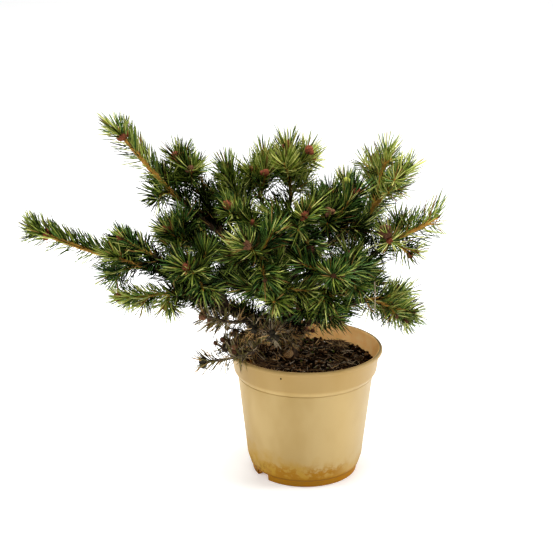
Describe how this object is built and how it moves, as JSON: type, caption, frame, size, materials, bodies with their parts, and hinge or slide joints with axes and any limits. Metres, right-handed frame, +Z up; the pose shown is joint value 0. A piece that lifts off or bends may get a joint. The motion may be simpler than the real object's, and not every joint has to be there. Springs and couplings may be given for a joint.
{
  "type": "potted conifer",
  "caption": "Young spruce with needled shoots and round buds, leaning to one side, in a round plastic nursery pot filled with soil",
  "frame": {"origin": "the middle of the pot's flat underside, on the pot's axis", "axes": "+Z is up. +X is to the right of a viewer who faces the plant's fullest side from -Y; the plant leans and reaches furthest towards -X."},
  "size_m": [0.3451, 0.21, 0.3103],
  "materials": {
    "pot_plastic": "matte",
    "potting_soil": "matte",
    "bark": "matte",
    "green_needles": "satin",
    "dry_needles": "matte"
  },
  "bodies": {
    "root": {"pot": "pot_plastic", "soil": "potting_soil", "trunk": "bark", "bough_left": "bark", "bough_dry_centre": "bark", "bough_left_mid": "bark", "bough_top_left": "bark", "bough_mid_left": "bark", "bough_upper_front": "bark", "bough_upper_mid": "bark", "bough_top": "bark", "bough_centre_front": "bark", "bough_centre_right": "bark", "bough_right": "bark", "bough_lower_right": "bark", "bough_front": "bark", "bough_front_low": "bark", "bough_front_right": "bark", "bough_right_mid": "bark", "bough_inner_low": "bark", "bough_back_left": "bark", "bough_back": "bark", "bough_back_right": "bark", "bough_back_low_right": "bark", "bough_back_low_left": "bark", "needles_left": "green_needles", "needles_dry_upper": "dry_needles", "needles_dry_lower": "dry_needles", "needles_dry_centre": "dry_needles", "needles_lower_left": "green_needles", "needles_left_front": "green_needles", "needles_left_outer": "green_needles", "needles_left_mid": "green_needles", "needles_top_left": "green_needles", "needles_upper_left": "green_needles", "needles_mid_left": "green_needles", "needles_upper_front": "green_needles", "needles_upper_mid": "green_needles", "needles_top": "green_needles", "needles_centre_front": "green_needles", "needles_centre_right": "green_needles", "needles_right": "green_needles", "needles_right_top": "green_needles", "needles_lower_right": "green_needles", "needles_front": "green_needles", "needles_front_low": "green_needles", "needles_front_right": "green_needles", "needles_right_mid": "green_needles", "needles_inner_low": "green_needles", "needles_back_left": "green_needles", "needles_back": "green_needles", "needles_back_right": "green_needles", "needles_back_low_right": "green_needles", "needles_back_low_left": "green_needles"}
  },
  "joints": []
}
